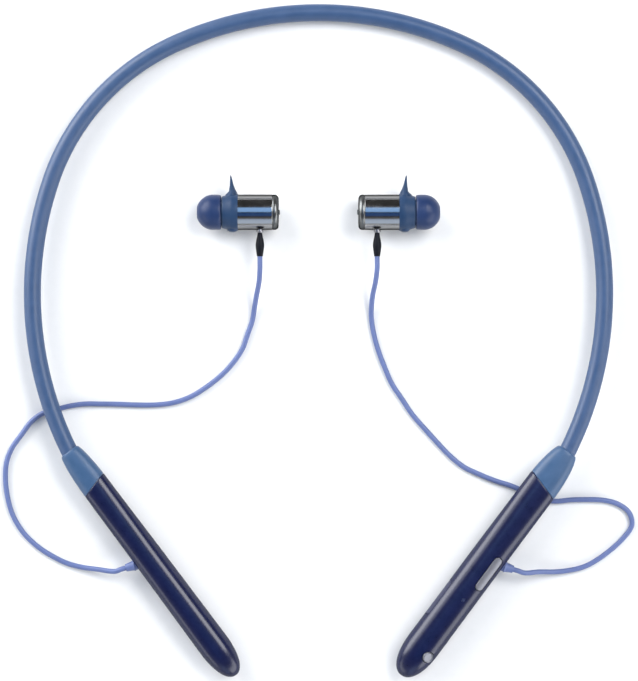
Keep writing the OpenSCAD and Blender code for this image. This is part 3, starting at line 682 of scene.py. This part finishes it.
def patch(name, x0, x1, z0, z1, deep, proud, corner):
    """A block of the right pod's inner wall between two depths, with rounded corners."""
    cx, cz = (x0 + x1) / 2, (z0 + z1) / 2
    outline = rounded_corners([(x0, z0), (x1, z0), (x1, z1), (x0, z1)], corner, 6)
    dense = []
    for i, p in enumerate(outline):
        q = outline[(i + 1) % len(outline)]
        steps = max(1, round(math.dist(p, q) / 0.5))
        dense += [(mix(p[0], q[0], k / steps), mix(p[1], q[1], k / steps)) for k in range(steps)]

    def layer(share, inset):
        """The outline drawn in to a share of its size, at a depth in the wall."""
        made = []
        for x, z in dense:
            px, pz = cx + (x - cx) * share, cz + (z - cz) * share
            made.append(in_pod(RIGHT, px, skin_y(RIGHT, px, pz) - inset, pz))
        return made

    shares = (0.01, 0.25, 0.5, 0.75, 0.93)
    rings = [layer(share, deep) for share in (*shares, 1)]
    rings += [layer(1, -proud + 0.1), layer(0.98, -proud)]
    rings += [layer(share, -proud) for share in reversed(shares)]
    return lofted(name, rings)


def turned_at(origin, direction, reference):
    """A frame that places a turned piece at a point of the pod's frame, its height along direction."""
    z = Vector(direction).normalized()
    x = Vector(reference).normalized()
    y = z.cross(x)
    return lambda a, b, h: Vector(origin) + x * a + y * b + z * h


def pod_lathe(name, side, profile, origin, direction, reference, sides=48):
    """A turned piece that stands on a pod, along direction from origin."""
    place = turned_at(origin, direction, reference)
    return lathe(name, profile, lambda a, b, h: in_pod(side, *place(a, b, h)), sides)


POWER_OUT = (0, -math.sin(POWER_TILT), math.cos(POWER_TILT))


def key_cutters():
    """What is cut out of the right pod's cover for the rocker, the power key and the lamp."""
    slot = pill_outline(ROCKER_LEN + 2 * KEY_GAP, ROCKER_W + 2 * KEY_GAP, 0)
    rocker = lofted("cut_rocker", [
        [in_pod(RIGHT, ROCKER_X + x, ROCKER_Y + y, z) for x, y in slot] for z in (5.5, 12)])
    power_r = POWER_D / 2 + KEY_GAP
    power = pod_lathe("cut_power", RIGHT, [(0, -3), (power_r, -3), (power_r, 3), (0, 3)],
                      POWER_SEAT, POWER_OUT, (1, 0, 0))
    lamp = pod_lathe("cut_lamp", RIGHT, [(0, -3), (LAMP_D / 2, -3), (LAMP_D / 2, 3), (0, 3)],
                     (LAMP_X, LAMP_Y, POD_H), (0, 0, 1), (1, 0, 0), 32)
    return [rocker, power, lamp]


def usb_cutters():
    """What is cut out of the right pod's wall for the flap and the socket."""
    w, h = FLAP_LEN / 2 + FLAP_GAP, FLAP_H / 2 + FLAP_GAP
    window = patch("cut_window", USB_X - w, USB_X + w, USB_Z - h, USB_Z + h, FLAP_T + 0.08, 1.0, 1.0)
    slot = pill_outline(USB_W + 0.4, USB_H + 0.4, 0)
    port = lofted("cut_port", [[in_pod(RIGHT, USB_X + x, y, USB_Z + z) for x, z in slot] for y in (2.0, 7.0)])
    return [window, port]


def gland_cutter(side):
    """The hole in the pod's outer wall for the cord's gland."""
    out = (-math.sin(GLAND_LEAN), -math.cos(GLAND_LEAN), 0)
    return pod_lathe("cut_gland", side, [(0, -2.5), (GLAND_HOLE_R, -2.5), (GLAND_HOLE_R, 2), (0, 2)],
                     (GLAND_X, -pod_half_w(side, GLAND_X), GLAND_Z), out, (0, 0, 1), 32)


for side, word in SIDES:
    arm = word + "_arm"
    # Boot
    stops = [0.0, 0.12, 0.35] + [0.8 + (BOOT_LEN - 1.2) * i / 26 for i in range(27)] + [BOOT_LEN - 0.2, BOOT_LEN]
    insets = {0: 0.3, 1: 0.1, 2: 0.02, len(stops) - 1: 0.1}
    boot = lofted(word + "_boot_skin", [full_ring(side, x, insets.get(i, 0.0)) for i, x in enumerate(stops)])
    bore = lofted("bore", [
        band_ring(side, BAND_TURN + math.radians(d), TUBE_R + BORE_CLEAR, 0, BORE_SIDES)
        for d in (-4, -2, 0, 1.1, math.degrees(GRIP_TURN))])
    throat = lofted("throat", [
        [in_pod(side, x, a, BOOT_Z - THROAT_DROP + b) for a, b in circle(THROAT_R, BORE_SIDES)] for x in (3, 15)])
    boolean(boot, [bore, throat])
    settled(boot, "boot_silicone", 50)
    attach(boot, arm)
    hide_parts(word + "_boot")
    # Pod
    for top in (False, True):
        shell = pod_half(side, word, top)
        cutters = [gland_cutter(side)]
        if side == RIGHT:
            cutters += usb_cutters() + (key_cutters() if top else [])
        boolean(shell, cutters)
        settled(shell, "pod_gloss", 40)
        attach(shell, arm)
        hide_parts(word + ("_pod_cover" if top else "_pod_base"))
    # Gland
    outline = [
        (0, -1.4), (GLAND_R, -1.4), (GLAND_R, 0.25), (1.75, 0.3, 0.08), (1.72, 0.55, 0.12), (1.5, 0.9, 0.3),
        (1.36, 1.8, 0.6), (1.24, 2.6, 0.6), (1.16, GLAND_NOSE, 0.12), (0, GLAND_NOSE)]
    gland = pod_lathe(word + "_gland_sleeve", side, rounded_corners(outline, 0.0),
                      (GLAND_X, -pod_half_w(side, GLAND_X), GLAND_Z),
                      (-math.sin(GLAND_LEAN), -math.cos(GLAND_LEAN), 0), (0, 0, 1), 40)
    settled(gland, "cord_rubber", 45)
    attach(gland, arm)
    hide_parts(word + "_cord_gland")

# Keys -----------------------------------------------------------------------------------


def rocker_layer(inset, height=None, drop=0.0):
    """The rocker's outline, drawn in, on a top that follows the pod and dips under each fingertip."""
    ring = []
    for x, y in pill_outline(ROCKER_LEN, ROCKER_W, inset):
        top = skin_z(RIGHT, ROCKER_X + x, ROCKER_Y + y, -KEY_RISE)
        dish = 0.16 * math.exp(-((abs(x) - 3.7) / 1.5) ** 2) * (1 - (1 - min(inset / (ROCKER_W / 2), 1)) ** 3)
        z = height if height is not None else top - drop - dish
        ring.append(in_pod(RIGHT, ROCKER_X + x, ROCKER_Y + y, z))
    return ring


rocker = lofted("volume_rocker_cap", [
    rocker_layer(0, ROCKER_Z - 0.5), rocker_layer(0, drop=0.28), rocker_layer(0.05, drop=0.12),
    rocker_layer(0.14, drop=0.04), rocker_layer(0.28), rocker_layer(0.5), rocker_layer(0.75), rocker_layer(1.0),
    rocker_layer(1.2)])
settled(rocker, "key_metal", 60)
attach(rocker, "volume_rocker")
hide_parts("volume_rocker")

# The power key's face is dished, to a radius of 14 mm
POWER_R, DISH_R, DISH_LOW = POWER_D / 2, 14.0, 0.2
face = [(r, DISH_LOW + DISH_R - math.sqrt(DISH_R ** 2 - r ** 2)) for r in (0.0, 0.4, 0.8, 1.1, 1.4)]
profile = [
    (0, -2), (0.7, -2), (0.7, -0.9), (POWER_R, -0.9), (POWER_R, 0.18), (POWER_R - 0.06, 0.3),
    (POWER_R - 0.18, 0.37), *reversed(face)]
power = pod_lathe("power_button_cap", RIGHT, profile, POWER_SEAT, POWER_OUT, (1, 0, 0), 64)
settled(power, "key_metal", 50)
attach(power, "power_button")
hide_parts("power_button")

flap = patch("usb_flap_lid", USB_X - FLAP_LEN / 2, USB_X + FLAP_LEN / 2, USB_Z - FLAP_H / 2, USB_Z + FLAP_H / 2,
             FLAP_T, 0.0, 0.9)
settled(flap, "flap_rubber", 50)
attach(flap, "usb_flap")
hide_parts("usb_flap")

# Earbuds ----------------------------------------------------------------------------------


FIN_SIDES = 28
BUMP_X = 14.3
WING_BORE_R = BARREL_R + 0.03


def arc(cx, cy, rx, ry, a0, a1, steps):
    """Points of an ellipse between two angles in degrees."""
    angles = [math.radians(mix(a0, a1, k / steps)) for k in range(steps + 1)]
    return [(cx + rx * math.cos(a), cy + ry * math.sin(a)) for a in angles]


def fin(name, side):
    """The thin blade of the wing, flared where it grows out of the ring."""
    # Each row: height, middle along the axis, half thickness, middle across, half breadth
    rows = [
        (4.0, 14.6, 2.3, -0.5, 3.4), (4.9, 14.6, 2.15, -0.5, 3.3), (5.5, 14.5, 1.9, -0.45, 3.1),
        (5.95, 14.35, 1.55, -0.35, 2.85), (6.5, 14.25, 1.18, -0.2, 2.55), (7.2, 14.38, 0.95, 0.05, 2.2),
        (8.0, 14.45, 0.72, 0.35, 1.85), (8.9, 14.55, 0.54, 0.8, 1.45), (9.8, 14.63, 0.39, 1.35, 1.0),
        (10.6, 14.7, 0.27, 1.95, 0.62), (11.1, 14.74, 0.15, 2.35, 0.34), (11.28, 14.76, 0.05, 2.5, 0.1)]
    rings = []
    for h, x, t, z, b in smooth_profile(rows, 4):
        rings.append([
            in_bud(side, x + t * power_of(math.cos(a), 2.3), h, z + b * power_of(math.sin(a), 2.3))
            for a in (2 * math.pi * k / FIN_SIDES for k in range(FIN_SIDES))])
    return lofted(name, rings)


def bump(name, side):
    """The low swelling of the wing opposite its fin."""
    # Each row: height, half thickness, half breadth
    rows = [
        (-4.2, 1.75, 2.9), (-5.0, 1.7, 2.6), (-5.6, 1.5, 2.15), (-5.95, 1.1, 1.6), (-6.12, 0.55, 0.9),
        (-6.15, 0.15, 0.3)]
    rings = [
        [in_bud(side, BUMP_X + t * a, h, b * c) for a, c in circle(1, FIN_SIDES)]
        for h, t, b in smooth_profile(rows, 4)]
    return lofted(name, rings)


for side, word in SIDES:
    bud = word + "_earbud"
    place = bud_axis(side)
    r = BARREL_R
    barrel = lathe(word + "_barrel_tube", rounded_corners([
        (r - BARREL_WALL, CAP_LEN + 0.02, 0.02), (r, CAP_LEN + 0.02, 0.12), (r, CAP_LEN + 0.6, 0.02),
        (r, WING_FROM - 0.5, 0.02), (r, BARREL_LEN, 0.1), (r - BARREL_WALL, BARREL_LEN, 0.02)], 0.0, 3), place, 128)
    hole = lathe("hole", [(0, 3), (CORD_HOLE_R, 3), (CORD_HOLE_R, 8), (0, 8)], relief_axis(side), 32)
    boolean(barrel, [hole])
    settled(barrel, "barrel_metal", 40)
    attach(barrel, bud)
    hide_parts(word + "_barrel")

    # Rear cap: a pip, two turned rings, a rounded rim and a skirt that plugs into the barrel
    rim = 1.25
    outline = [(0, -0.35), (0.62, -0.35), (0.78, -0.25), (0.8, 0.02)]
    outline += [(1.3, 0.0), (1.34, 0.06), (1.5, 0.06), (1.54, 0.0)]
    outline += [(2.6, 0.0), (2.64, 0.05), (2.8, 0.05), (2.84, 0.0), (3.7, 0.0)]
    outline += arc(r - rim, rim, rim, rim, -78, 0, 12)
    skirt, bore = r - BARREL_WALL - 0.05, r - 1.4
    outline += [(r, CAP_LEN - 0.12), (r - 0.1, CAP_LEN), (skirt, CAP_LEN), (skirt, 2.9)]
    outline += [(bore, 2.9), (bore, 0.9), (0, 0.9)]
    cap = lathe(word + "_cap_turned", outline, place, 128)
    settled(cap, "cap_metal", 40)
    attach(cap, bud)
    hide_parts(word + "_rear_cap")

    # Wing: a ring round the barrel's front, with a fin above and a low bump below, hollow inside
    outer = smooth_profile([
        (r + 0.2, WING_FROM), (r + 0.22, WING_FROM + 0.2), (5.74, 13.2), (5.78, 13.8), (5.72, 14.6), (5.42, 15.6),
        (5.16, 16.5), (5.02, 17.1), (4.78, WING_TO)], 4)
    seat = [(WING_BORE_R, 13.7), (5.12, 13.85), (4.55, 15.1), (3.25, 17.5)]
    inner = [(3.25, WING_TO), *reversed(seat), (WING_BORE_R, WING_FROM)]
    wing = lathe(word + "_wing_sleeve", outer + inner, place, 96)
    parts = [fin("fin", side), bump("bump", side)]
    hollow = lathe("hollow", [(0, 11), (WING_BORE_R, 11), *seat, (3.25, 20), (0, 20)], place, 96)
    boolean(wing, parts, "UNION")
    boolean(wing, [hollow])
    settled(wing, "wing_silicone", 48)
    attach(wing, bud)
    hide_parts(word + "_wing")

    collar = lathe(word + "_collar_turned", rounded_corners([
        (0.5, 5.1), (1.0, 5.1), (1.0, 5.6), (1.12, 5.65, 0.04), (1.12, 5.95, 0.04), (0.98, 6.0),
        (0.95, COLLAR_END, 0.05), (0.5, COLLAR_END)], 0.0, 3), relief_axis(side), 48)
    settled(collar, "collar_metal", 40)
    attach(collar, bud)
    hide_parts(word + "_collar")

    relief_from = COLLAR_END + 0.02
    spindle = smooth_profile([
        (0.72, relief_from), (0.80, 7.0), (0.95, 7.8), (1.2, 9.0), (1.32, 10.0), (1.28, 11.0), (1.1, 12.4),
        (0.95, RELIEF_END)], 5)
    relief = lathe(word + "_relief_moulded", [(0, relief_from), *spindle, (0, RELIEF_END)], relief_axis(side), 48)
    settled(relief, "relief_rubber", 50)
    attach(relief, bud)
    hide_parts(word + "_strain_relief")

    # Ear tip: a skirt folded back over a core that grips the nozzle
    dome_from = TIP_TOP - TIP_DOME
    outline = arc(0, dome_from, TIP_R, TIP_DOME, 71, 4, 22)
    outline += [(TIP_R - 0.01, 19.4), (TIP_R - 0.06, 18.5), (TIP_R - 0.16, 18.0), (TIP_R - 0.34, SKIRT_BACK + 0.02),
                (TIP_R - 0.55, 17.95), (TIP_R - 0.65, 18.3), (TIP_R - 0.72, 19.2)]
    outline += arc(0, dome_from, TIP_R - 0.75, TIP_DOME - 0.8, 2, 48, 10)
    outline += [(3.1, 22.9), (3.1, 19.6), (2.95, 19.35), (2.6, 19.3), (2.42, 19.5), (2.42, 22.9), (1.9, 23.0),
                (1.68, 23.4), (1.62, 24.4), (1.7, 25.1)]
    tip = lathe(word + "_ear_tip_dome", outline, place, 96)
    settled(tip, "tip_silicone", 50)
    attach(tip, word + "_ear_tip")
    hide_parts(word + "_ear_tip")

# Floor and lights -----------------------------------------------------------------------

FLOOR_HALF = 1500
floor = mesh_object(
    "floor", [(x * FLOOR_HALF, y * FLOOR_HALF, 0) for x, y in ((-1, -1), (1, -1), (1, 1), (-1, 1))], [(0, 1, 2, 3)])
floor.data.transform(Matrix.Scale(MM, 4))
floor_mat = build_material(
    "floor_pale", (0.72, 0.72, 0.715), 0.9, grain=2.0, bump=0.0, vary=0.01, rough_vary=0.02, spec=0.1)
floor.data.materials.append(floor_mat)

# The sky's brightness by height, from the horizon to straight up
WORLD_STOPS = ((0.0, 0.6), (0.45, 0.55), (0.72, 0.26), (0.9, 0.05), (1.0, 0.02))
WORLD_TINT = (1.0, 0.985, 0.95)
FLAG_TOWARD = (0.45, 0.80, 0.35)
FLAG_EDGE, FLAG_CORE, FLAG_LEVEL = 0.55, 0.85, 0.12

world = bpy.data.worlds.new("studio")
world.use_nodes = True
sky, sky_links = world.node_tree.nodes, world.node_tree.links
background = sky["Background"]
background.inputs["Strength"].default_value = 1.0
direction = sky.new("ShaderNodeTexCoord")
split = sky.new("ShaderNodeSeparateXYZ")
sky_links.new(direction.outputs["Generated"], split.inputs[0])
ramp = sky.new("ShaderNodeValToRGB")
while len(ramp.color_ramp.elements) < len(WORLD_STOPS):
    ramp.color_ramp.elements.new(0.5)
for element, (height, level) in zip(ramp.color_ramp.elements, WORLD_STOPS):
    element.position = height
    element.color = (*(level * c for c in WORLD_TINT), 1.0)
sky_links.new(split.outputs["Z"], ramp.inputs["Fac"])
# A dark flag stands behind the object, towards the upper right
toward = sky.new("ShaderNodeVectorMath")
toward.operation = "DOT_PRODUCT"
toward.inputs[1].default_value = FLAG_TOWARD
sky_links.new(direction.outputs["Generated"], toward.inputs[0])
flag = sky.new("ShaderNodeMapRange")
flag.interpolation_type = "SMOOTHSTEP"
flag.inputs["From Min"].default_value = FLAG_EDGE
flag.inputs["From Max"].default_value = FLAG_CORE
flag.inputs["To Min"].default_value = 1.0
flag.inputs["To Max"].default_value = FLAG_LEVEL
sky_links.new(toward.outputs["Value"], flag.inputs["Value"])
dim = sky.new("ShaderNodeVectorMath")
dim.operation = "SCALE"
sky_links.new(ramp.outputs["Color"], dim.inputs[0])
sky_links.new(flag.outputs["Result"], dim.inputs["Scale"])
sky_links.new(dim.outputs["Vector"], background.inputs["Color"])
scene.world = world


def softbox(name, toward, polar, distance, width, height, radiance, colour=(1, 1, 1)):
    """A soft light seen from the object in the direction toward, at an angle from the vertical.
    width lies level, and radiance is what a mirror would show."""
    d = Vector((toward[0], toward[1], 0)).normalized()
    p = math.radians(polar)
    out = d * math.sin(p) + Vector((0, 0, 1)) * math.cos(p)
    light = bpy.data.lights.new(name, "AREA")
    light.shape = "RECTANGLE"
    light.size, light.size_y = width, height
    light.color = colour
    light.energy = radiance * width * height * math.pi
    obj = bpy.data.objects.new(name, light)
    level = Vector((0, 0, 1)).cross(d)
    up = out.cross(level)
    obj.matrix_world = Matrix.Translation(out * distance) @ Matrix((level, up, out)).transposed().to_4x4()
    obj.visible_camera = False
    scene.collection.objects.link(obj)
    return obj


# Directions square to the pods, seen from above, so that each light runs down a pod's whole length
UPPER_RIGHT, UPPER_LEFT = (0.8028, 0.5962), (-0.8028, 0.5962)
LOWER_RIGHT, LOWER_LEFT = (0.8028, -0.5962), (-0.8028, -0.5962)
COOL = (0.97, 0.98, 1.0)
softbox("upper_right", UPPER_RIGHT, 39, 1.2, 0.85, 0.62, 8.5)
softbox("upper_left", UPPER_LEFT, 72, 1.3, 1.3, 0.9, 8.0, COOL)
softbox("upper_left_fill", UPPER_LEFT, 44, 1.3, 1.0, 0.5, 2.6, COOL)
softbox("lower_right", LOWER_RIGHT, 68, 1.3, 1.4, 0.8, 4.0, COOL)
softbox("lower_left", LOWER_LEFT, 74, 1.3, 1.3, 0.5, 2.2, COOL)
# Coloured cards that the barrels mirror
softbox("card_sky", (0, 1), 15, 1.4, 0.4, 0.72, 2.1, (0.30, 0.56, 1.0))
softbox("card_deep", (0, -1), 15, 1.4, 0.5, 0.5, 0.45, (0.04, 0.28, 1.0))
softbox("card_lavender", (0, -1), 64, 1.3, 0.6, 0.85, 1.0, (0.52, 0.70, 1.0))
